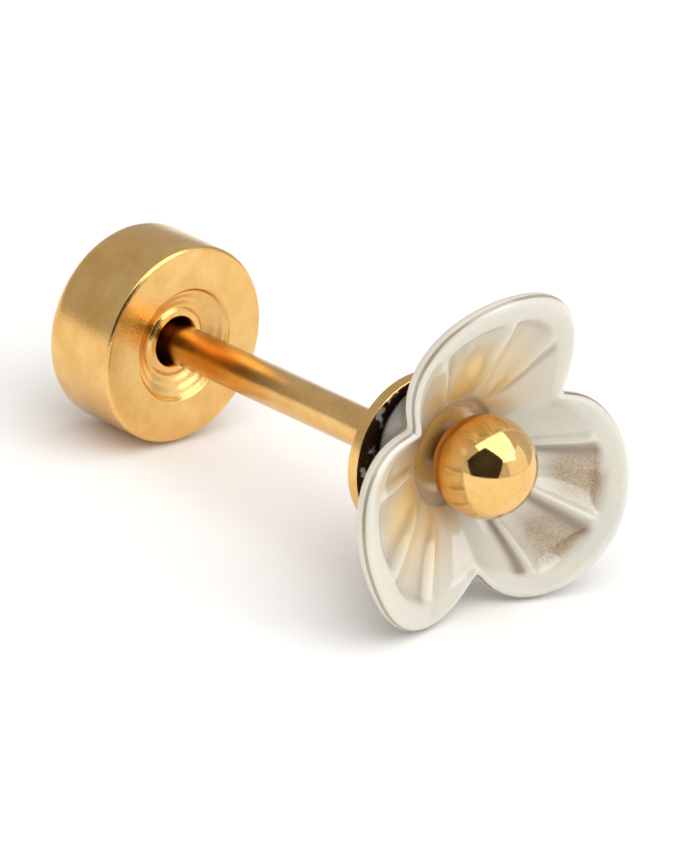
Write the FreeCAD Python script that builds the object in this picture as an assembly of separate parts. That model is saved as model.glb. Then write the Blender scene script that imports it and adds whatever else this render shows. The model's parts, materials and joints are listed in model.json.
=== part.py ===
import FreeCAD, Part
import math
import os

import Mesh

# A screw back stud earring, lying as it rests by itself: on two petals of its flower and on the rear
# edge of its screw back. Lengths are millimetres and angles are degrees. Each piece is first made
# along the post's axis, with x = 0 on the pad's rear face and +x towards the flower, and the whole is
# then tipped into its rest and centred over the origin, +Z up.

# Post, pad and peg: one soldered piece
POST_RADIUS = 0.5
POST_LENGTH = 10.7
POST_TIP_RADIUS = 0.33
PAD_RADIUS = 2.0
PAD_THICKNESS = 0.35
PAD_ROUNDING = 0.06
PEG_RADIUS = 0.3

# Thread on the post's tip
THREAD_PITCH = 0.3
THREAD_TURNS = 8
THREAD_CREST_RADIUS = 0.49
THREAD_ROOT_RADIUS = 0.42
THREAD_START = 0.15

# Screw back: a short turned drum with a dished front face and a raised lip round its bore
BACK_RADIUS = 2.5
BACK_LENGTH = 2.3
BACK_FROM_PAD = 8.05
BACK_REAR_ROUNDING = 0.4
BACK_FRONT_ROUNDING = 0.12
BACK_BORE_RADIUS = 0.55
BACK_BORE_CHAMFER = 0.16
DISH_RADIUS = 1.45
DISH_DEPTH = 0.38
DISH_FLOOR_RADIUS = 0.90
DISH_WALL_HEIGHT = 0.26
DISH_WALL_SLOPE = 0.08
LIP_OUTER_RADIUS = 0.78
LIP_INNER_RADIUS = 0.66
LIP_HEIGHT = 0.10
LIP_BEVEL_DEPTH = 0.15
EDGE_ROUNDING = 0.04

# Ball in the middle of the flower
BALL_RADIUS = 1.25
BALL_FROM_PAD = 2.6

# The flower and its ball sit this much above the post's own axis
FLOWER_RISE = 0.45

# Play between pieces that are glued, pushed on or screwed on
SEAT_GAP = 0.03

# Flower: a shell cup whose rim runs out into three petals. Heights are measured along the axis from
# the ball's centre, and reaches outwards from the flower's own axis.
PETALS = 3
PETAL_REACH = 4.5
PETAL_HEIGHT = 0.80
NOTCH_REACH = 2.79
NOTCH_HEIGHT = 0.04
SHOULDER_DROP_REACH = 0.62
SHOULDER_DROP_HEIGHT = 1.98
NOTCH_SHARPNESS = 3.2
THROAT_RADIUS = 0.95
BASE_RADIUS = 1.35
FLUTE_DEPTH = 0.2
FLUTES_HALF_ANGLE = 30.0
SIDE_FLUTE_SHARE = 0.2
FLOWER_SECTIONS = 72

# How the inside of a petal runs from the throat out to the rim: the share of the way out, and the
# share of the flutes' depth there. The last stretch is the smooth band along the rim.
INSIDE_ROWS = (
    # way_out, flute_share
    (0.00, 0.0),
    (0.15, 0.0),
    (0.30, 0.3),
    (0.45, 0.6),
    (0.60, 0.85),
    (0.74, 1.0),
    (0.82, 0.9),
    (0.88, 0.0),
    (1.00, 0.0),
)
OUTSIDE_WAYS = (1.0, 0.8, 0.6, 0.4, 0.2, 0.0)

# The rounded edge of the rim, from its inside to its outside: how far each corner lies inside the
# rim's reach and below its height
RIM_ROWS = (
    # inside_reach, below_height
    (0.25, 0.00),
    (0.08, 0.06),
    (0.00, 0.20),
    (0.02, 0.33),
    (0.10, 0.38),
)

# Where the curve of a petal's inside and outside is pulled to, as shares of its reach and height
INSIDE_PULL = (0.42, 0.60)
OUTSIDE_PULL = (0.36, 0.56)


def turned(rows):
    """Solid turned about the x axis from a closed outline of (x, radius, corner rounding) rows."""
    points = [FreeCAD.Vector(x, 0, radius) for x, radius, _ in rows]
    edges = []
    start = None
    first = None
    for i, (_, _, rounding) in enumerate(rows):
        corner = points[i]
        if rounding:
            back = (points[i - 1] - corner).normalize()
            ahead = (points[(i + 1) % len(points)] - corner).normalize()
            half_angle = back.getAngle(ahead) / 2
            middle = (back + ahead).normalize()
            centre = corner + middle * (rounding / math.sin(half_angle))
            tangent = rounding / math.tan(half_angle)
            enter, leave = corner + back * tangent, corner + ahead * tangent
            arc = Part.Arc(enter, centre - middle * rounding, leave).toShape()
        else:
            enter, leave, arc = corner, corner, None
        if start is None:
            first = enter
        else:
            edges.append(Part.LineSegment(start, enter).toShape())
        if arc:
            edges.append(arc)
        start = leave
    edges.append(Part.LineSegment(start, first).toShape())
    face = Part.Face(Part.Wire(edges))
    return face.revolve(FreeCAD.Vector(0, 0, 0), FreeCAD.Vector(1, 0, 0), 360)


def rod(radius, x_from, x_to, rise=0.0):
    """Plain round bar along x, at a height above the post's axis."""
    start = FreeCAD.Vector(x_from, 0, rise)
    return Part.makeCylinder(radius, x_to - x_from, start, FreeCAD.Vector(1, 0, 0))


def screw_back():
    front = -BACK_FROM_PAD
    rear = front - BACK_LENGTH
    floor = front - DISH_DEPTH
    return turned(
        [
            (front, DISH_RADIUS, EDGE_ROUNDING),
            (front, BACK_RADIUS, BACK_FRONT_ROUNDING),
            (rear, BACK_RADIUS, BACK_REAR_ROUNDING),
            (rear, BACK_BORE_RADIUS + BACK_BORE_CHAMFER, EDGE_ROUNDING),
            (rear + BACK_BORE_CHAMFER, BACK_BORE_RADIUS, 0),
            (floor - LIP_BEVEL_DEPTH, BACK_BORE_RADIUS, 0),
            (floor + LIP_HEIGHT, LIP_INNER_RADIUS, EDGE_ROUNDING),
            (floor + LIP_HEIGHT, LIP_OUTER_RADIUS, EDGE_ROUNDING),
            (floor, DISH_FLOOR_RADIUS, EDGE_ROUNDING),
            (floor + DISH_WALL_HEIGHT, DISH_RADIUS - DISH_WALL_SLOPE, EDGE_ROUNDING),
        ]
    )


def post():
    tip = -POST_LENGTH
    thread = []
    for turn in range(THREAD_TURNS):
        root = tip + THREAD_START + (turn + 0.5) * THREAD_PITCH
        thread.append((root - THREAD_PITCH / 2, THREAD_CREST_RADIUS, 0))
        thread.append((root, THREAD_ROOT_RADIUS, 0))
    thread_end = tip + THREAD_START + THREAD_TURNS * THREAD_PITCH
    shaft_and_pad = turned(
        [
            (tip, 0, 0),
            (tip, POST_TIP_RADIUS, 0),
            *thread,
            (thread_end, POST_RADIUS, 0),
            (0, POST_RADIUS, 0),
            (0, PAD_RADIUS, PAD_ROUNDING),
            (PAD_THICKNESS, PAD_RADIUS, PAD_ROUNDING),
            (PAD_THICKNESS, 0, 0),
        ]
    )
    peg = rod(PEG_RADIUS, PAD_THICKNESS / 2, BALL_FROM_PAD, FLOWER_RISE)
    return shaft_and_pad.fuse(peg).removeSplitter()


def centre_ball():
    ball = Part.makeSphere(BALL_RADIUS, FreeCAD.Vector(BALL_FROM_PAD, 0, FLOWER_RISE))
    hole = rod(
        PEG_RADIUS + SEAT_GAP,
        BALL_FROM_PAD - 2 * BALL_RADIUS,
        BALL_FROM_PAD + SEAT_GAP,
        FLOWER_RISE,
    )
    return ball.cut(hole)


def from_petal_middle(angle):
    """Angle to the middle of the nearest petal, one of which points straight up at 0."""
    spread = 360.0 / PETALS
    return abs((angle + spread / 2) % spread - spread / 2)


def rim(angle):
    """Reach and height of the flower's rim at an angle round its axis."""
    x = from_petal_middle(angle) / (180.0 / PETALS)
    shoulder = x**2
    notch = x**NOTCH_SHARPNESS
    reach = PETAL_REACH - SHOULDER_DROP_REACH * shoulder
    reach -= (PETAL_REACH - SHOULDER_DROP_REACH - NOTCH_REACH) * notch
    height = PETAL_HEIGHT - SHOULDER_DROP_HEIGHT * shoulder
    height -= (PETAL_HEIGHT - SHOULDER_DROP_HEIGHT - NOTCH_HEIGHT) * notch
    return reach, height


def flute(angle):
    """Share of the flutes' depth at an angle: two deep flutes between three ridges on each petal."""
    t = from_petal_middle(angle)
    if t <= FLUTES_HALF_ANGLE:
        return math.sin(math.pi * t / FLUTES_HALF_ANGLE)
    side = (t - FLUTES_HALF_ANGLE) / (180.0 / PETALS - FLUTES_HALF_ANGLE)
    return SIDE_FLUTE_SHARE * math.sin(math.pi * side)


def pulled(start, end, pull, way):
    """Point at a share of the way along a curve from start to end, bent towards its pull point."""
    result = []
    for a, b, share in zip(start, end, pull):
        control = a + (b - a) * share
        result.append((1 - way) ** 2 * a + 2 * way * (1 - way) * control + way**2 * b)
    return result


def petal_section(angle):
    """Closed outline of the cup's wall at an angle, as (reach, height) points."""
    reach, height = rim(angle)
    floor = -BALL_RADIUS - SEAT_GAP
    base = PAD_THICKNESS + SEAT_GAP - BALL_FROM_PAD
    edge = [(reach - inside, height - below) for inside, below in RIM_ROWS]
    points = [(PEG_RADIUS + SEAT_GAP, floor)]
    for way, share in INSIDE_ROWS:
        r, s = pulled((THROAT_RADIUS, floor), edge[0], INSIDE_PULL, way)
        points.append((r, s - FLUTE_DEPTH * share * flute(angle)))
    points.extend(edge[1:-1])
    for way in OUTSIDE_WAYS:
        points.append(pulled((BASE_RADIUS, base), edge[-1], OUTSIDE_PULL, way))
    points.append((PEG_RADIUS + SEAT_GAP, base))
    return points


def flower():
    """Ring of flat facets through the wall's outline at evenly spaced angles, as one solid."""
    rings = []
    for i in range(FLOWER_SECTIONS):
        angle = 360.0 * i / FLOWER_SECTIONS
        turn = math.radians(angle)
        rings.append(
            [
                (BALL_FROM_PAD + s, r * math.sin(turn), FLOWER_RISE + r * math.cos(turn))
                for r, s in petal_section(angle)
            ]
        )
    facets = []
    for i, ring in enumerate(rings):
        following = rings[(i + 1) % len(rings)]
        for j in range(len(ring)):
            k = (j + 1) % len(ring)
            facets.append((ring[j], following[j], following[k]))
            facets.append((ring[j], following[k], ring[k]))
    shell = Part.Shape()
    shell.makeShapeFromMesh(Mesh.Mesh(facets).Topology, 1e-4)
    solid = Part.makeSolid(shell)
    if solid.Volume < 0:
        solid.reverse()
    return solid


def rest_tilt(flower_solid):
    """Angle by which the axis rises towards the flower when petals and the back's rear edge touch
    one level floor. The rear edge is an arc in side view, and the petals touch at a corner."""
    edge_x = -BACK_FROM_PAD - BACK_LENGTH + BACK_REAR_ROUNDING
    edge_drop = BACK_RADIUS - BACK_REAR_ROUNDING
    steepest = -90.0
    for vertex in flower_solid.Vertexes:
        along = vertex.X - edge_x
        below = -vertex.Z - edge_drop
        lean = math.atan2(below, along)
        lean -= math.asin(BACK_REAR_ROUNDING / math.hypot(along, below))
        steepest = max(steepest, math.degrees(lean))
    return steepest


def main():
    pieces = {
        "screw_back": screw_back(),
        "post": post(),
        "flower": flower(),
        "centre_ball": centre_ball(),
    }
    tilt = rest_tilt(pieces["flower"])
    origin = FreeCAD.Vector(0, 0, 0)
    for shape in pieces.values():
        shape.rotate(origin, FreeCAD.Vector(0, 1, 0), -tilt)
    whole = Part.Compound(list(pieces.values())).optimalBoundingBox()
    shift = FreeCAD.Vector(-whole.Center.x, -whole.Center.y, -whole.ZMin)
    os.makedirs("parts", exist_ok=True)
    for name, shape in pieces.items():
        shape.translate(shift)
        shape.exportStep(f"parts/{name}.step")
        print(name, "valid", shape.isValid(), "solids", len(shape.Solids), "faces", len(shape.Faces))
        print("  volume", round(shape.Volume, 3), "mm3, centre", shape.CenterOfGravity)
    print("tilt", round(tilt, 4), "degrees, pad centre", shift)
    print("size", whole.XLength, whole.YLength, whole.ZLength)


main()
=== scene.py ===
# %% [markdown]
# # A screw back stud earring
# The earring lies on a pale table on two petals of its flower and the rear edge of its screw back.
# The imported model is loaded first, because every piece made here takes the place of one of its parts
# and rides on one of its bodies.

# %% The imported model
import json
import math
from collections import namedtuple
from functools import partial
from types import SimpleNamespace

import bmesh
import bpy
from mathutils import Matrix, Vector


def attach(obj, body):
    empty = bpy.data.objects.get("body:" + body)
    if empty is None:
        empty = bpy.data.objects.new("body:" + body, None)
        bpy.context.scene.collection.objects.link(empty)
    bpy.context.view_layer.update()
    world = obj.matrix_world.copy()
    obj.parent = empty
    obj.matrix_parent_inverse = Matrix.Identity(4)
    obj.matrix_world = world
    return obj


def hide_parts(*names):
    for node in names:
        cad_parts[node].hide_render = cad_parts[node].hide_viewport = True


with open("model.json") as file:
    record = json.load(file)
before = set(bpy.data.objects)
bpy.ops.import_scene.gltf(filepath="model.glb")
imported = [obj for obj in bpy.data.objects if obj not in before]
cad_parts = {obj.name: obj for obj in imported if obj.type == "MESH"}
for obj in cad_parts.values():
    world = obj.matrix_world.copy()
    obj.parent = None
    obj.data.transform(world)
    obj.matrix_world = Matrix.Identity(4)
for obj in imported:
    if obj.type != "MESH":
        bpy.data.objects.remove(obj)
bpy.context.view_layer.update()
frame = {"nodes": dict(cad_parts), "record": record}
print("nodes", sorted(frame["nodes"]))

# %% [markdown]
# ## Where the post lies
# Every piece is turned or shaped along the post's own axis, in millimetres, with x = 0 on the pad's rear
# face, and is then tipped and moved to where the earring lies. The record's pin gives the axis: its
# place is the pin's middle, and it points to the post's tip. So the pieces follow if the model changes.

# %% The post's axis
MM = 0.001
pin = next(mount for mount in frame["record"]["mounts"] if mount["name"] == "ear_post")
to_tip = Vector(pin["axis"]).normalized()
PAD_CENTRE = Vector(pin["pos_m"]) - to_tip * (pin["dims"]["length_mm"] * MM / 2)
TILT = math.asin(-to_tip.z)
INTO_PLACE = Matrix.Translation(PAD_CENTRE) @ Matrix.Rotation(-TILT, 4, "Y") @ Matrix.Scale(MM, 4)
FLOWER_RISE = 0.45
print("pad centre", tuple(PAD_CENTRE), "tilt", math.degrees(TILT))

# %% [markdown]
# ## Finishing a mesh
# Each shape is made straight and in millimetres, so its numbers stay easy to read. At the end its
# doubled points are merged, its faces are turned outwards, and it is put in place in its mesh, so that
# the object itself stays at the origin.

# %% Helper for finished pieces


def finished(name, bm, body, *nodes):
    """Object made from the mesh, tipped into place, shaded smooth, riding on its body."""
    bmesh.ops.remove_doubles(bm, verts=bm.verts, dist=1e-5)
    bmesh.ops.recalc_face_normals(bm, faces=bm.faces)
    bmesh.ops.transform(bm, matrix=INTO_PLACE, verts=bm.verts)
    for face in bm.faces:
        face.smooth = True
    mesh = bpy.data.meshes.new(name)
    bm.to_mesh(mesh)
    bm.free()
    obj = bpy.data.objects.new(name, mesh)
    bpy.context.scene.collection.objects.link(obj)
    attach(obj, body)
    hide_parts(*nodes)
    print(name, len(mesh.polygons), "faces")
    return obj


# %% [markdown]
# ## Turning on a lathe
# The screw back, the post with its pad, and the ball are all round about one axis. A wire outline with
# rounded corners is swept once round that axis, as a lathe would leave the metal. Rounding the
# outline before the sweep gives every edge the small radius that catches the light.

# %% Helper for turned pieces
CORNER_STEPS = 6


def turned(rows, steps, rise=0.0, closed=True):
    """Mesh turned about the x axis from an outline of (x, radius, corner rounding) rows."""
    bm = bmesh.new()
    corners = [bm.verts.new((x, 0, radius)) for x, radius, _ in rows]
    for a, b in zip(corners, corners[1:]):
        bm.edges.new((a, b))
    if closed:
        bm.edges.new((corners[-1], corners[0]))
    for corner, (_, _, rounding) in zip(corners, rows):
        if rounding:
            bmesh.ops.bevel(
                bm,
                geom=[corner],
                offset=rounding,
                offset_type="OFFSET",
                segments=CORNER_STEPS,
                profile=0.5,
                affect="VERTICES",
                material=-1,
            )
    bmesh.ops.spin(
        bm,
        geom=bm.verts[:] + bm.edges[:],
        axis=(1, 0, 0),
        cent=(0, 0, 0),
        angle=2 * math.pi,
        steps=steps,
        use_merge=True,
    )
    bmesh.ops.translate(bm, vec=(0, 0, rise), verts=bm.verts)
    return bm


# %% [markdown]
# ## The screw back
# A short round nut with a flat front ring, a dished recess and a raised lip round its bore. The real
# one is turned from bar and plated. It could be cylinders cut from each other, but one outline keeps
# every edge's rounding in one list and leaves no seams.

# %% Screw back
BACK_FRONT = -8.05
BACK_LENGTH = 2.3
BACK_REAR = BACK_FRONT - BACK_LENGTH
BACK_RADIUS = 2.5
BACK_BORE = 0.55
DISH_DEPTH = 0.38
DISH_FLOOR = BACK_FRONT - DISH_DEPTH
DISH_RADIUS = 1.45
LIP_FRONT = DISH_FLOOR + 0.10
LIP_INSIDE, LIP_OUTSIDE, LIP_FOOT = 0.66, 0.78, 0.90
back_outline = [
    (BACK_FRONT, DISH_RADIUS, 0.04),
    (BACK_FRONT, BACK_RADIUS, 0.12),
    (BACK_REAR, BACK_RADIUS, 0.4),
    (BACK_REAR, BACK_BORE + 0.16, 0.04),
    (BACK_REAR + 0.16, BACK_BORE, 0),
    (DISH_FLOOR - 0.15, BACK_BORE, 0),
    (LIP_FRONT, LIP_INSIDE, 0.03),
    (LIP_FRONT, LIP_OUTSIDE, 0.03),
    (DISH_FLOOR, LIP_FOOT, 0.04),
    (DISH_FLOOR + 0.26, DISH_RADIUS - 0.08, 0.04),
]
screw_back = finished("screw_back_turned", turned(back_outline, 192), "back", "screw_back")

# %% [markdown]
# ## The post, its pad and its peg
# The post is a plain round wire with a fine thread at its tip, soldered to a round pad. A short peg
# stands on the pad's other face, a little above the post's line, and carries the flower and the ball.
# The thread is turned as rings, which look the same as a helix at this size and need no second sweep.

# %% Post and pad
POST_RADIUS = 0.5
POST_TIP = -10.7
PAD_RADIUS = 2.0
PAD_FRONT = 0.35
THREAD_START = POST_TIP + 0.15
THREAD_TURNS = 8
THREAD_CREST, THREAD_ROOT = 0.49, 0.42
PITCH = 0.3
thread = []
for ring in range(THREAD_TURNS):
    thread.append((THREAD_START + ring * PITCH, THREAD_CREST, 0))
    thread.append((THREAD_START + (ring + 0.5) * PITCH, THREAD_ROOT, 0))
post_outline = [
    (POST_TIP, 0.0, 0),
    (POST_TIP, 0.33, 0),
    *thread,
    (THREAD_START + THREAD_TURNS * PITCH, POST_RADIUS, 0),
    (0.0, POST_RADIUS, 0.03),
    (0.0, PAD_RADIUS, 0.06),
    (PAD_FRONT, PAD_RADIUS, 0.06),
    (PAD_FRONT, 0.0, 0),
]
post_mesh = turned(post_outline, 128, closed=False)
print("post outline", len(post_outline), "corners")

# %% [markdown]
# ### The peg
# The peg is soldered to the pad, so it is joined into the post's mesh and not kept as a piece of its
# own. It starts just inside the pad and ends inside the ball's hole.

# %% Peg
PEG_RADIUS = 0.3
PEG_START, PEG_END = 0.3, 2.6
peg_outline = [
    (PEG_START, 0, 0),
    (PEG_START, PEG_RADIUS, 0),
    (PEG_END, PEG_RADIUS, 0),
    (PEG_END, 0, 0),
]
peg = turned(peg_outline, 48, FLOWER_RISE, closed=False)
carrier = bpy.data.meshes.new("peg")
peg.to_mesh(carrier)
peg.free()
post_mesh.from_mesh(carrier)
bpy.data.meshes.remove(carrier)
post = finished("post_turned", post_mesh, "stud", "post")

# %% [markdown]
# ## The ball
# A polished ball, drilled blind from behind so that it sits on the peg. Its outline is a half circle
# with the hole's outline let into it, so the drilled hole is part of the same sweep.

# %% Ball
BALL_X = 2.6
BALL_RADIUS = 1.25
HOLE_RADIUS = 0.33
HOLE_END = BALL_X + 0.03
ARC_STEPS = 64
mouth = math.asin(HOLE_RADIUS / BALL_RADIUS)
ball_outline = [(HOLE_END, 0.0, 0), (HOLE_END, HOLE_RADIUS, 0)]
for step in range(ARC_STEPS + 1):
    around = (math.pi - mouth) * (1 - step / ARC_STEPS)
    ball_outline.append((BALL_X + BALL_RADIUS * math.cos(around), BALL_RADIUS * math.sin(around), 0))
ball_mesh = turned(ball_outline, 128, FLOWER_RISE, closed=False)
ball = finished("ball_turned", ball_mesh, "stud", "centre_ball")

# %% [markdown]
# ## The flower
# The flower is one carved piece of shell: a cup whose rim runs out into three petals, with veins and
# flutes cut into it. It could be sculpted, but a formula keeps the three petals alike. A flat grid is
# laid out with one direction going round the flower and the other going round the wall's outline, and
# each point is then moved to its place. Heights are measured from the ball's middle, along the post.

# %% Flower sizes
JUST_INSIDE = 0.999
PETAL_REACH, PETAL_HEIGHT = 4.5 * JUST_INSIDE, 0.80
SHOULDER_REACH, SHOULDER_HEIGHT = 0.62, 1.98
NOTCH_REACH, NOTCH_HEIGHT = 2.70, 0.06
NOTCH_SHARPNESS = 3.2
FLOWER_BORE = 0.33
THROAT_RADIUS, THROAT_HEIGHT = 0.95, -1.28
BASE_RADIUS, BASE_HEIGHT = 1.35, 0.38 - BALL_X
print("petals reach", PETAL_REACH, "mm and the notches", NOTCH_REACH, "mm")

# %% [markdown]
# ### The rim
# From a petal's middle to the notch beside it, the rim's reach and height fall with the square of the
# way. A higher power of the same way then brings both to the notch's own place. The way is rounded
# off over a few degrees, because a sharp notch would run down the cup as a crease.

# %% Rim
HALF_PETAL = 60
RIM_SOFTNESS = 3.0


def smooth_step(low, high, value):
    t = min(1.0, max(0.0, (value - low) / (high - low)))
    return t * t * (3 - 2 * t)


def from_middle(angle):
    """Signed degrees from the middle of the nearest petal."""
    return (angle + HALF_PETAL) % (2 * HALF_PETAL) - HALF_PETAL


def rim(angle, softness=RIM_SOFTNESS):
    """Reach and height of the rim. The notch is rounded over about this many degrees."""
    to_notch = HALF_PETAL - abs(from_middle(angle))
    way = (HALF_PETAL + 0.5 * softness - math.hypot(to_notch, softness)) / HALF_PETAL
    notch = way**NOTCH_SHARPNESS
    reach = PETAL_REACH - SHOULDER_REACH * way * way
    reach -= (PETAL_REACH - SHOULDER_REACH - NOTCH_REACH) * notch
    height = PETAL_HEIGHT - SHOULDER_HEIGHT * way * way
    height -= (PETAL_HEIGHT - SHOULDER_HEIGHT - NOTCH_HEIGHT) * notch
    return reach, height


print("rim at a notch", rim(HALF_PETAL))

# %% [markdown]
# ### The edge of the wall
# The wall ends in a rounded edge, which catches a bright line all round the petals. The edge rises a
# little, rolls over, and turns back underneath. Each corner says how far it lies inside the rim and
# how far below it, and the corners stand closest where the edge rolls over. A thin dark line on two of
# them is a painted reflection, standing for the dark that the rounding mirrors there.

# %% Edge
edge_corners = [
    (0.28, 0.030),
    (0.23, 0.010),
    (0.18, 0.0),
    (0.14, 0.006),
    (0.105, 0.020),
    (0.075, 0.040),
    (0.052, 0.062),
    (0.022, 0.105),
    (0.005, 0.15),
    (0.0, 0.20),
    (0.008, 0.27),
    (0.035, 0.335),
    (0.10, 0.38),
]
SHADE_LINE_CORNERS = (6, 7)
SHADE_LINE_DARKNESS = 1.8
print("edge of", len(edge_corners), "corners")

# %% [markdown]
# ### Flutes and veins
# Each petal has a thin vein in its middle and one 30 degrees to each side, with a deep hollow flute
# between neighbours. The flutes are half waves and the veins are narrow bell curves, so both
# fade without a step. Towards the rim the side veins spread a little, and a line of painted shade
# runs along one flank of each vein.

# %% Flutes and veins
VEIN_ANGLE = 30
FLUTE_DEPTH, OUTER_FLUTE_SHARE = 0.24, 0.12
VEIN_HEIGHT, SIDE_VEIN_SHARE = 0.09, 0.9
MIDDLE_VEIN_WIDTH, SIDE_VEIN_WIDTH = 2.6, 2.4
DARK_LINE_ASIDE, DARK_LINE_WIDTH = 5.0, 2.6
FLARE = 0.05


def bell(value, width):
    return math.exp(-((value / width) ** 2))


def spread(angle, way):
    """Signed degrees from the petal's middle, drawn in towards the rim so that the side veins flare."""
    return from_middle(angle) / (1 + FLARE * smooth_step(0.70, 1.0, way))


def flute(aside):
    """Depth share: two deep flutes on each petal, and nearly none to the sides."""
    share = 1.0 if abs(aside) <= VEIN_ANGLE else OUTER_FLUTE_SHARE
    return share * math.sin(math.pi * (abs(aside) % VEIN_ANGLE) / VEIN_ANGLE)


def vein(aside):
    """Height share of the veins in the petal's middle and to its sides."""
    side = bell(abs(aside) - VEIN_ANGLE, SIDE_VEIN_WIDTH)
    return bell(aside, MIDDLE_VEIN_WIDTH) + SIDE_VEIN_SHARE * side


def flank_line(aside):
    """Share of the painted shade line along one flank of each vein."""
    middles = (-VEIN_ANGLE, 0, VEIN_ANGLE)
    return sum(bell(aside - middle - DARK_LINE_ASIDE, DARK_LINE_WIDTH) for middle in middles)


print("flute half way to the side vein", flute(VEIN_ANGLE / 2))

# %% [markdown]
# ### The wall's rows
# One row after another follows the wall: from the bore out along the inside, over the edge, and back
# along the outside. The inside and outside are simple curves with one pull point each. A shallow round
# seat in the throat holds the ball, and a thin ring of painted shade marks its edge. Each point also
# keeps how far out it lies, how deep in a flute it is, and how dark its painted shade line is, for the
# finish to read.

# %% Wall rows
INSIDE_STEPS = 44
OUTSIDE_STEPS = 16
INSIDE_PULL, OUTSIDE_PULL = (0.42, 0.60), (0.36, 0.56)
SEAT_EDGE, SEAT_DEPTH = 0.155, 0.08
SEAT_LINE, SEAT_LINE_WIDTH = 0.8, 0.018
THROAT_SOFTNESS = 15.0
FLUTE_STARTS, FLUTE_ENDS = (0.15, 0.68), (0.85, 0.90)
VEIN_STARTS, VEIN_ENDS = (0.22, 0.45), (0.86, 0.90)
SEAT_STARTS, SEAT_ENDS = (0.0, 0.05), (SEAT_EDGE - 0.03, SEAT_EDGE + 0.01)
PAST_SHADE_LINE = 1.002
WallPoint = namedtuple("WallPoint", "reach height way_out flute_share dark_line")


def pulled(start, end, pull, way):
    """Point part of the way from start to end, on a curve drawn towards a control point."""
    point = []
    for a, b, share in zip(start, end, pull):
        control = a + (b - a) * share
        point.append((1 - way) ** 2 * a + 2 * way * (1 - way) * control + way**2 * b)
    return point


def between(starts, ends, way):
    """Share that rises over the first stretch of the way and falls again over the second."""
    return smooth_step(*starts, way) * (1 - smooth_step(*ends, way))


def edge_corner(angle, corner, softness=RIM_SOFTNESS):
    reach, height = rim(angle, softness)
    inside, below = edge_corners[corner]
    return reach - inside, height - below


def inside_point(angle, way):
    edge_start = edge_corner(angle, 0, RIM_SOFTNESS + THROAT_SOFTNESS * (1 - way**2))
    reach, height = pulled((THROAT_RADIUS, THROAT_HEIGHT), edge_start, INSIDE_PULL, way)
    aside = spread(angle, way)
    hollow = flute(aside) * between(FLUTE_STARTS, FLUTE_ENDS, way)
    raised = between(VEIN_STARTS, VEIN_ENDS, way)
    seat = between(SEAT_STARTS, SEAT_ENDS, way)
    height += VEIN_HEIGHT * raised * vein(aside) - FLUTE_DEPTH * hollow - SEAT_DEPTH * seat
    # Painted shade: a line along one flank of each vein and a ring at the seat's edge.
    dark = raised * flank_line(aside) + SEAT_LINE * bell(way - SEAT_EDGE, SEAT_LINE_WIDTH)
    return WallPoint(reach, height, way, hollow, dark)


def edge_point(angle, corner):
    way_out = PAST_SHADE_LINE if corner > SHADE_LINE_CORNERS[-1] else 1.0
    # Painted reflection of the dark: a thin line on two corners of the rolled-over edge.
    dark = SHADE_LINE_DARKNESS if corner in SHADE_LINE_CORNERS else 0.0
    return WallPoint(*edge_corner(angle, corner), way_out, 0.0, dark)


def outside_point(angle, way):
    base = (BASE_RADIUS, BASE_HEIGHT)
    return WallPoint(*pulled(base, edge_corner(angle, -1), OUTSIDE_PULL, way), 2.0 - way, 0.0, 0.0)


wall_rows = [lambda angle: WallPoint(FLOWER_BORE, THROAT_HEIGHT, 0.0, 0.0, 0.0)]
wall_rows += [partial(inside_point, way=step / INSIDE_STEPS) for step in range(INSIDE_STEPS + 1)]
wall_rows += [partial(edge_point, corner=corner) for corner in range(1, len(edge_corners) - 1)]
wall_rows += [partial(outside_point, way=1 - step / OUTSIDE_STEPS) for step in range(OUTSIDE_STEPS + 1)]
wall_rows += [lambda angle: WallPoint(FLOWER_BORE, BASE_HEIGHT, 2.0, 0.0, 0.0)]
print("wall of", len(wall_rows), "rows")

# %% [markdown]
# ### Moving the grid
# The grid's first and last rows meet in the bore, and its first and last columns meet at the top of
# the flower. Those doubled points are merged when the piece is finished, which closes the wall. One
# more number is kept on the points: how strongly the painted reflection of the gold ball shows on its
# side of the flower. That side lies round the upper left notch, as seen from the front.

# %% Flower
AROUND = 540
BALL_REFLECTION_MIDDLE = math.radians(300)
flower_mesh = bmesh.new()
bmesh.ops.create_grid(flower_mesh, x_segments=AROUND, y_segments=len(wall_rows), size=0.5)
layers = {}
for number in ("way_out", "flute_share", "dark_line", "ball_reflection_side"):
    layers[number] = flower_mesh.verts.layers.float.new(number)
for vertex in flower_mesh.verts:
    angle = 360 * (vertex.co.x + 0.5)
    turn = math.radians(angle)
    row = round((vertex.co.y + 0.5) * len(wall_rows)) % len(wall_rows)
    point = wall_rows[row](angle)
    sideways, upwards = point.reach * math.sin(turn), point.reach * math.cos(turn)
    vertex.co = (BALL_X + point.height, sideways, FLOWER_RISE + upwards)
    for number in ("way_out", "flute_share", "dark_line"):
        vertex[layers[number]] = getattr(point, number)
    # Share of the painted reflection of the gold ball, strongest round the upper left notch.
    vertex[layers["ball_reflection_side"]] = smooth_step(-0.6, 0.1, math.cos(turn - BALL_REFLECTION_MIDDLE))
flower = finished("flower_carved", flower_mesh, "stud", "flower")

# %% [markdown]
# ## Building with nodes
# Every finish is built from the same few nodes, so each kind gets a short helper. A helper takes
# sockets or plain values and hands back the socket to go on with, which lets a finish be read from
# top to bottom.

# %% Node helpers


def node(tree, kind, **settings):
    """New node with its settings, which are the node's own or those of its inputs."""
    made = tree.nodes.new(kind)
    for key, value in settings.items():
        if hasattr(made, key):
            setattr(made, key, value)
        else:
            made.inputs[key.replace("_", " ")].default_value = value
    return made


def feed(tree, socket, value):
    """Joins a socket to an input, or sets the input to a plain number or colour."""
    if isinstance(value, bpy.types.NodeSocket):
        tree.links.new(value, socket)
    elif isinstance(value, tuple):
        socket.default_value = (*value, 1)
    else:
        socket.default_value = value


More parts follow.
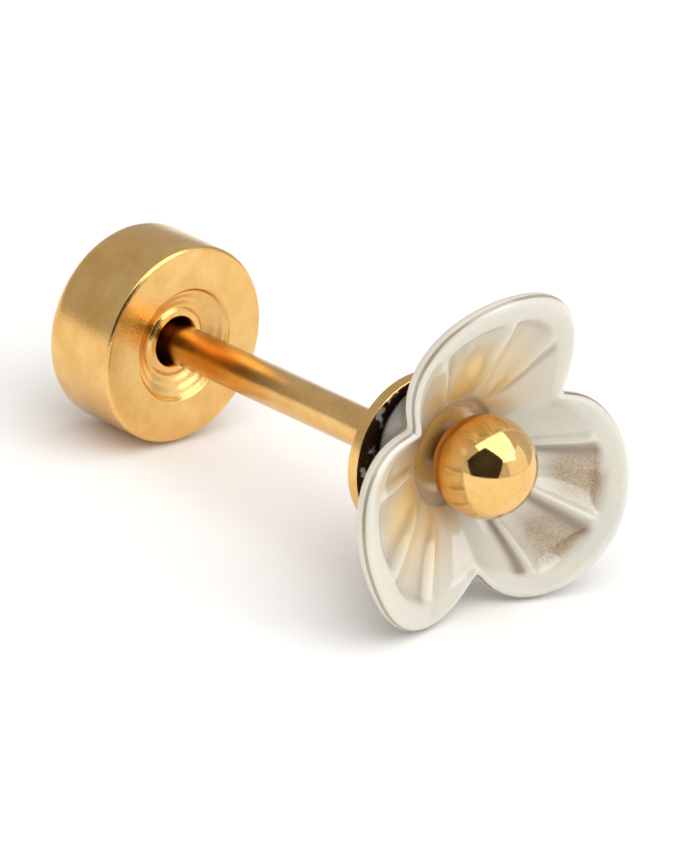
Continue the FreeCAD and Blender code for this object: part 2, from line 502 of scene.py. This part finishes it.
def mixed(tree, factor, a, b):
    """Colour mixed from a to b."""
    made = node(tree, "ShaderNodeMix", data_type="RGBA")
    for place, value in ((0, factor), (6, a), (7, b)):
        feed(tree, made.inputs[place], value)
    return made.outputs[2]


def math_node(tree, operation, *values, clamp=False):
    made = node(tree, "ShaderNodeMath", operation=operation, use_clamp=clamp)
    for socket, value in zip(made.inputs, values):
        feed(tree, socket, value)
    return made.outputs[0]


def ranged(tree, value, start, end, low=0.0, high=1.0, kind="LINEAR"):
    """Value from start to end brought to run from low to high."""
    made = node(
        tree, "ShaderNodeMapRange", interpolation_type=kind,
        From_Min=start, From_Max=end, To_Min=low, To_Max=high,
    )
    feed(tree, made.inputs[0], value)
    return made.outputs[0]


def ramp(tree, value, *stops):
    """Colour that runs through (place, colour) stops."""
    made = node(tree, "ShaderNodeValToRGB")
    elements = made.color_ramp.elements
    while len(elements) < len(stops):
        elements.new(0.5)
    for element, (place, colour) in zip(elements, stops):
        element.position = place
        element.color = (*colour, 1)
    feed(tree, made.inputs[0], value)
    return made.outputs[0]


def bumped(tree, height, depth, over=None):
    """Normal pushed by a height, in metres, over an earlier bump if there is one."""
    made = node(tree, "ShaderNodeBump", Strength=1.0, Distance=depth)
    feed(tree, made.inputs["Height"], height)
    if over:
        feed(tree, made.inputs["Normal"], over)
    return made.outputs["Normal"]


# %% [markdown]
# ## Shared effects
# Two effects serve several finishes, so each is a node group that is built once. One gives soft
# blotches, from slow noise with a little fine grain over it. The other gives scattered specks. Both give
# only a value from 0 to 1, and each finish decides what to do with it.

# %% Blotches and specks
FINE_GRAIN_SCALE, FINE_GRAIN_SHARE = 11.0, 0.4
SPECK_SHARPNESS = 12.0


def group(name, output, **inputs):
    """Empty node group that reads a vector and some numbers, and puts out one number."""
    tree = bpy.data.node_groups.new(name, "ShaderNodeTree")
    tree.interface.new_socket("Vector", in_out="INPUT", socket_type="NodeSocketVector")
    for label, value in inputs.items():
        socket = tree.interface.new_socket(label, in_out="INPUT", socket_type="NodeSocketFloat")
        socket.default_value = value
    tree.interface.new_socket(output, in_out="OUTPUT", socket_type="NodeSocketFloat")
    return tree, tree.nodes.new("NodeGroupInput").outputs, tree.nodes.new("NodeGroupOutput").inputs[0]


def noise(tree, vector, scale, detail, roughness):
    made = node(tree, "ShaderNodeTexNoise", Detail=detail, Roughness=roughness)
    feed(tree, made.inputs["Vector"], vector)
    feed(tree, made.inputs["Scale"], scale)
    return made.outputs[0]


def blotches():
    tree, given, result = group("Plating blotches", "Value", Size=900.0)
    slow = noise(tree, given["Vector"], given["Size"], detail=3.0, roughness=0.55)
    fine_scale = math_node(tree, "MULTIPLY", given["Size"], FINE_GRAIN_SCALE)
    fine = noise(tree, given["Vector"], fine_scale, detail=4.0, roughness=0.7)
    blend = node(tree, "ShaderNodeMix", data_type="FLOAT")
    for place, value in ((0, FINE_GRAIN_SHARE), (2, slow), (3, fine)):
        feed(tree, blend.inputs[place], value)
    tree.links.new(blend.outputs[0], result)
    return tree


def specks():
    tree, given, result = group("Scattered specks", "Mask", Size=9000.0, Level=0.62)
    grain = noise(tree, given["Vector"], given["Size"], detail=2.0, roughness=0.6)
    above = math_node(tree, "SUBTRACT", grain, given["Level"])
    tree.links.new(math_node(tree, "MULTIPLY", above, SPECK_SHARPNESS, clamp=True), result)
    return tree


def use(tree, shared, vector, **values):
    """Places a shared effect in a finish, with the finish's own values."""
    made = tree.nodes.new("ShaderNodeGroup")
    made.node_tree = shared
    feed(tree, made.inputs["Vector"], vector)
    for label, value in values.items():
        feed(tree, made.inputs[label], value)
    return made.outputs[0]


BLOTCHES = blotches()
SPECKS = specks()
print("groups", BLOTCHES.name, SPECKS.name)

# %% [markdown]
# ## Gold plate
# The metal is bright gold plate over brass. Its colour drifts a little between a pale and a deeper
# gold, and fine ripples from polishing break up what it mirrors. A smooth single colour would look like
# paint, so the same blotches drive colour, roughness and ripple together. The pattern is laid along
# the post's own axis.

# %% Gold
PALE_GOLD = (0.90, 0.59, 0.235)
DEEP_GOLD = (0.78, 0.445, 0.13)


def new_material(name):
    material = bpy.data.materials.new(name)
    material.use_nodes = True
    tree = material.node_tree
    return material, tree, tree.nodes["Principled BSDF"]


def object_place(tree):
    return node(tree, "ShaderNodeTexCoord").outputs["Object"]


def along_post(tree):
    """Object coordinates turned back to the post's axis, with x along the post."""
    back = node(tree, "ShaderNodeMapping", vector_type="TEXTURE")
    back.inputs["Location"].default_value = PAD_CENTRE
    back.inputs["Rotation"].default_value = (0, -TILT, 0)
    feed(tree, back.inputs["Vector"], object_place(tree))
    return back.outputs["Vector"]


def gold(name, smoothest, roughest, size, ripple):
    """Plated finish, with its sockets kept at hand for marks that are added to it."""
    material, tree, shader = new_material(name)
    vector = along_post(tree)
    blotch = use(tree, BLOTCHES, vector, Size=size)
    colour = ramp(tree, blotch, (0.35, DEEP_GOLD), (0.65, PALE_GOLD))
    normal = bumped(tree, blotch, ripple)
    feed(tree, shader.inputs["Base Color"], colour)
    feed(tree, shader.inputs["Roughness"], ranged(tree, blotch, 0.0, 1.0, smoothest, roughest))
    feed(tree, shader.inputs["Normal"], normal)
    shader.inputs["Metallic"].default_value = 1.0
    print(name)
    return SimpleNamespace(
        material=material, tree=tree, shader=shader, vector=vector, colour=colour, normal=normal
    )


ball_gold = gold("Gold ball", 0.05, 0.11, 500.0, 3e-6)
back_gold = gold("Gold screw back", 0.10, 0.20, 1500.0, 1.2e-5)
post_gold = gold("Gold post", 0.08, 0.17, 2000.0, 1.1e-5)

# %% [markdown]
# ### Turning marks in the dish
# The cutter leaves fine rings in the screw back's dish. They are far too shallow to model, so they are
# a wave of the distance from the post's axis, laid over the plate's own ripple as a second bump. They
# end where the flat front ring starts.

# %% Turning marks
MARK_SPACING = 0.20 * MM
MARK_DEPTH = 3e-6
MARKS_END = 1.40 * MM
tree = back_gold.tree
apart = node(tree, "ShaderNodeSeparateXYZ")
across = node(tree, "ShaderNodeCombineXYZ")
length = node(tree, "ShaderNodeVectorMath", operation="LENGTH")
tree.links.new(back_gold.vector, apart.inputs[0])
for axis in (1, 2):
    tree.links.new(apart.outputs[axis], across.inputs[axis])
tree.links.new(across.outputs[0], length.inputs[0])
from_axis = length.outputs["Value"]
wave = math_node(tree, "SINE", math_node(tree, "MULTIPLY", from_axis, 2 * math.pi / MARK_SPACING))
in_dish = math_node(tree, "LESS_THAN", from_axis, MARKS_END)
marks = bumped(tree, math_node(tree, "MULTIPLY", wave, in_dish), MARK_DEPTH, back_gold.normal)
feed(tree, back_gold.shader.inputs["Normal"], marks)
print("rings every", MARK_SPACING, "m")

# %% [markdown]
# ### The pad's front face
# Behind the flower the pad's front face is coloured near black, with pale specks. It is only a colour,
# laid where x is just short of the pad's front face, so that the rest of the post stays gold.

# %% Dark face on the pad
PAD_FACE_START = 0.33 * MM
PAD_FACE_DARK = (0.045, 0.022, 0.010)
PAD_FACE_SPECK = (0.55, 0.50, 0.52)
tree = post_gold.tree
along = node(tree, "ShaderNodeSeparateXYZ")
tree.links.new(post_gold.vector, along.inputs[0])
on_front = math_node(tree, "GREATER_THAN", along.outputs[0], PAD_FACE_START)
pad_face_specks = use(tree, SPECKS, post_gold.vector, Size=2400.0, Level=0.57)
pad_face = mixed(tree, pad_face_specks, PAD_FACE_DARK, PAD_FACE_SPECK)
# The pad's front face behind the flower is coloured near black, with pale specks.
feed(tree, post_gold.shader.inputs["Base Color"], mixed(tree, on_front, post_gold.colour, pad_face))
print("film on", post_gold.material.name)

# %% [markdown]
# ## Carved shell
# Mother of pearl is pale and glossy, a little cloudy, and lets some light in. Its colour starts from
# soft clouds between three pale tones. The four numbers kept on the flower's points then lay the
# flutes' brown, lines of painted shade and a painted reflection of the gold ball over it, so that they
# follow the petals and not the space round them.

# %% Shell
GREENISH_SHELL = (0.51, 0.515, 0.47)
PALE_SHELL = (0.57, 0.55, 0.48)
CREAM_SHELL = (0.59, 0.545, 0.465)
shell, tree, shader = new_material("Carved shell")
place = object_place(tree)
way, depth, dark, ball_reflection = (
    node(tree, "ShaderNodeAttribute", attribute_name=number).outputs["Fac"]
    for number in ("way_out", "flute_share", "dark_line", "ball_reflection_side")
)
cloud = use(tree, BLOTCHES, place, Size=420.0)
pale = ramp(tree, cloud, (0.32, GREENISH_SHELL), (0.5, PALE_SHELL), (0.68, CREAM_SHELL))
print(shell.name)

# %% [markdown]
# ### Brown flutes
# The outer half of each flute is browner and finely speckled: partly the shell's own tone, partly
# painted shade in the hollow. On the side where the ball's painted reflection lies this is weak, and on
# the other side it is full.

# %% Brown flutes
FLUTE_SHADE_START, FLUTE_SHADE_FULL = 0.38, 0.72
FLUTE_SHADE_STRENGTH = 1.35
DARK_GRAIN = (0.31, 0.24, 0.155)
LIGHT_GRAIN = (0.41, 0.33, 0.235)
outer_half = ranged(tree, way, FLUTE_SHADE_START, FLUTE_SHADE_FULL, kind="SMOOTHSTEP")
away_from_ball_reflection = math_node(tree, "SUBTRACT", FLUTE_SHADE_STRENGTH, ball_reflection)
outer_flute = math_node(tree, "MULTIPLY", depth, outer_half)
# Browner flutes: partly the shell's own tone, partly painted shade in the hollows.
flute_tone_and_shade = math_node(tree, "MULTIPLY", outer_flute, away_from_ball_reflection, clamp=True)
grain = use(tree, SPECKS, place, Size=19000.0, Level=0.45)
fluted = mixed(tree, flute_tone_and_shade, pale, mixed(tree, grain, DARK_GRAIN, LIGHT_GRAIN))
print("brown in the flutes")

# %% [markdown]
# ### Warm throat
# Round the ball the shell is painted tan on one side: a painted reflection of the gold ball, deepest
# near the ball and ragged towards the rim. The clouds are added to the way out before it is measured,
# which frays the edge of the tan.
# The clouds are added to the way out before it is measured, which frays the edge of the tan.

# %% Warm throat
DEEP_TAN = (0.72, 0.47, 0.14)
PALE_TAN = (0.65, 0.53, 0.32)
FRAYING = 0.3
TAN_END, TAN_FULL, TAN_SHARE = 1.04, 0.68, 0.95
frayed_way = math_node(tree, "ADD", way, math_node(tree, "MULTIPLY", cloud, FRAYING))
near_ball = ranged(tree, frayed_way, TAN_END, TAN_FULL, high=TAN_SHARE, kind="SMOOTHSTEP")
tan = ramp(tree, way, (0.15, DEEP_TAN), (0.60, PALE_TAN))
# Painted reflection of the gold ball: tan near the ball on one side.
with_ball_reflection = mixed(tree, math_node(tree, "MULTIPLY", near_ball, ball_reflection), fluted, tan)
print("tan near the ball")

# %% [markdown]
# ### Dark lines
# A thin dark line of painted shade runs beside each vein, round the ball's seat and along the
# rolled-over edge. The lines are weaker on the side where the ball's painted reflection lies.

# %% Dark lines
SHADE_LINE_BROWN = (0.21, 0.15, 0.09)
LINE_SHARE, BALL_REFLECTION_LINE_LOSS = 0.92, 0.5
strength = math_node(tree, "ADD", math_node(tree, "MULTIPLY", ball_reflection, -BALL_REFLECTION_LINE_LOSS), LINE_SHARE)
line_share = math_node(tree, "MULTIPLY", dark, strength, clamp=True)
# Painted shade lines beside the veins, round the seat and along the edge.
inside = mixed(tree, line_share, with_ball_reflection, SHADE_LINE_BROWN)
print("dark lines beside the veins")

# %% [markdown]
# ### Growth rings outside
# The flower's outside shows the faint growth rings of shell. They are a slow wave of the way out,
# bent by the clouds, between two tones that hardly differ.

# %% Growth rings and polish
RING_SPEED, RING_BEND = 46.0, 14.0
RING_SHADE = (0.59, 0.55, 0.465)
RING_LIGHT = (0.61, 0.57, 0.49)
OUTSIDE_START = 1.001
steady = math_node(tree, "MULTIPLY", way, RING_SPEED)
bent = math_node(tree, "ADD", steady, math_node(tree, "MULTIPLY", cloud, RING_BEND))
rings = ranged(tree, math_node(tree, "SINE", bent), -1.0, 1.0)
outside = mixed(tree, rings, RING_SHADE, RING_LIGHT)
on_outside = math_node(tree, "GREATER_THAN", way, OUTSIDE_START)
feed(tree, shader.inputs["Base Color"], mixed(tree, on_outside, inside, outside))
feed(tree, shader.inputs["Normal"], bumped(tree, cloud, 4e-6))
for label, value in (
    ("Roughness", 0.32),
    ("Coat Weight", 1.0),
    ("Coat Roughness", 0.10),
    ("Coat IOR", 1.8),
    ("Subsurface Weight", 0.7),
    ("Subsurface Radius", (0.0011, 0.0010, 0.0008)),
    ("Subsurface Scale", 1.0),
):
    shader.inputs[label].default_value = value
print("polish on", shell.name)

# %% [markdown]
# ## Dressing the pieces
# Each piece takes one finish.

# %% Finishes on pieces
for obj, material, slot in (
    (screw_back, back_gold.material, "gold"),
    (post, post_gold.material, "gold"),
    (ball, ball_gold.material, "gold"),
    (flower, shell, "shell"),
):
    obj.data.materials.clear()
    obj.data.materials.append(material)
    print(obj.name, material.name)

# %% [markdown]
# ## Table
# A broad sheet of pale paper at the model's floor, with hardly any gloss. It is a stage piece, so it is
# left out of the part itself. Its helper also serves the card further down.

# %% Table
TABLE_HALF = 1.5


def matte(name, size, gloss, darker, lighter):
    """Dull finish with faint blotches between two tones."""
    material, tree, shader = new_material(name)
    blotch = use(tree, BLOTCHES, object_place(tree), Size=size)
    feed(tree, shader.inputs["Base Color"], ramp(tree, blotch, (0.3, darker), (0.7, lighter)))
    shader.inputs["Roughness"].default_value = 0.9
    shader.inputs["Specular IOR Level"].default_value = gloss
    return material


def stage_piece(name, bm, material):
    """Stage piece whose points are already where they belong, so the object stays at the origin."""
    mesh = bpy.data.meshes.new(name)
    bm.to_mesh(mesh)
    bm.free()
    mesh.materials.append(material)
    obj = bpy.data.objects.new(name, mesh)
    bpy.context.scene.collection.objects.link(obj)
    return obj


table_mesh = bmesh.new()
bmesh.ops.create_grid(table_mesh, x_segments=1, y_segments=1, size=TABLE_HALF)
paper = matte("Table paper", 60.0, 0.1, (0.90, 0.895, 0.885), (0.93, 0.925, 0.915))
table = stage_piece("table", table_mesh, paper)
print(table.name, paper.name)

# %% [markdown]
# ## Glow
# Small shiny pieces are lit in a tent of pale cloth. The glow all round stands for its walls. It
# grows brighter towards the flower's side, and the darker far side gives the gold edges to mirror.

# %% Glow
world = bpy.data.worlds.new("Light tent")
bpy.context.scene.world = world
world.use_nodes = True
sky = world.node_tree
direction = node(sky, "ShaderNodeSeparateXYZ")
sky.links.new(node(sky, "ShaderNodeTexCoord").outputs["Generated"], direction.inputs[0])
brightness = ranged(sky, direction.outputs[0], -0.7, 0.5, 0.50, 0.66)
sky.nodes["Background"].inputs["Color"].default_value = (1.0, 0.99, 0.97, 1)
feed(sky, sky.nodes["Background"].inputs["Strength"], brightness)
print(world.name)

# %% [markdown]
# ## Lamps
# One broad soft lamp overhead lays the gentle shade on the table. A weaker one is the bright side wall,
# and a small fill near the camera opens the flower's throat. Broad lamps give the gold soft bands
# where small ones would give hard sparks.

# %% Lamps
MIDDLE = Vector((0, 0, 0.003))


def lamp(name, place, size, watts):
    """Soft lamp turned to the earring's middle."""
    data = bpy.data.lights.new(name, "AREA")
    data.shape = "RECTANGLE"
    data.size, data.size_y = size
    data.energy = watts
    obj = bpy.data.objects.new(name, data)
    obj.location = place
    obj.rotation_euler = (MIDDLE - Vector(place)).to_track_quat("-Z", "Y").to_euler()
    bpy.context.scene.collection.objects.link(obj)


lamp("overhead lamp", (0.12, 0.0, 0.26), (0.40, 0.40), 0.80)
lamp("bright side wall", (0.26, 0.20, 0.12), (0.35, 0.24), 0.10)
lamp("front fill", (0.16, -0.20, 0.17), (0.20, 0.16), 0.11)
print("lit by", len(bpy.data.lights), "lamps")

# %% [markdown]
# ## Camera
# The camera looks from the flower's side, a little above the table, with a slight lean. It stands far
# off with a long lens, so that lines along the post stay nearly parallel. Its three directions are
# worked out from the angles, and the lens from the width that it has to take in.

# %% Camera
AZIMUTH = math.radians(-44.88)
ELEVATION = math.radians(23.8)
LEAN = math.radians(6.8)
DISTANCE = 0.25
WIDTH = 0.0162
AIM_ASIDE, AIM_DOWN = 0.00063, 0.00062
level_away = Vector((math.cos(AZIMUTH), math.sin(AZIMUTH), 0))
away = math.cos(ELEVATION) * level_away + math.sin(ELEVATION) * Vector((0, 0, 1))
level = Vector((-math.sin(AZIMUTH), math.cos(AZIMUTH), 0))
upright = away.cross(level)
right = math.cos(LEAN) * level + math.sin(LEAN) * upright
up = math.cos(LEAN) * upright - math.sin(LEAN) * level
facing = Matrix((right, up, away)).transposed().to_4x4()
aim = MIDDLE + AIM_ASIDE * right - AIM_DOWN * up
camera_data = bpy.data.cameras.new("camera")
camera_data.sensor_fit = "HORIZONTAL"
camera_data.lens = camera_data.sensor_width * DISTANCE / WIDTH
camera_data.clip_start = 0.01
camera = bpy.data.objects.new("camera", camera_data)
camera.matrix_world = Matrix.Translation(aim + away * DISTANCE) @ facing
bpy.context.scene.collection.objects.link(camera)
bpy.context.scene.camera = camera
bpy.context.scene.view_settings.view_transform = "Standard"
print("camera", tuple(camera.location))

# %% [markdown]
# ## The dark opening of the tent
# A light tent has one dark opening for the lens, and a polished ball shows that opening as a dark
# patch in its middle. A five-sided card before the camera stands for it. It shows in reflections
# only: the camera looks through it and it casts no shade.

# %% Tent opening
CARD_RADIUS = 0.175
CARD_DISTANCE = 0.2
card_mesh = bmesh.new()
bmesh.ops.create_circle(card_mesh, cap_ends=True, segments=5, radius=CARD_RADIUS)
before_lens = Matrix.Translation(aim + away * CARD_DISTANCE) @ facing
bmesh.ops.transform(card_mesh, matrix=before_lens, verts=card_mesh.verts)
cloth = matte("Dark cloth", 80.0, 0.5, (0.012, 0.010, 0.010), (0.03, 0.025, 0.025))
card = stage_piece("tent opening", card_mesh, cloth)
card.visible_camera = False
card.visible_shadow = False
card.visible_diffuse = False
print(card.name, cloth.name)
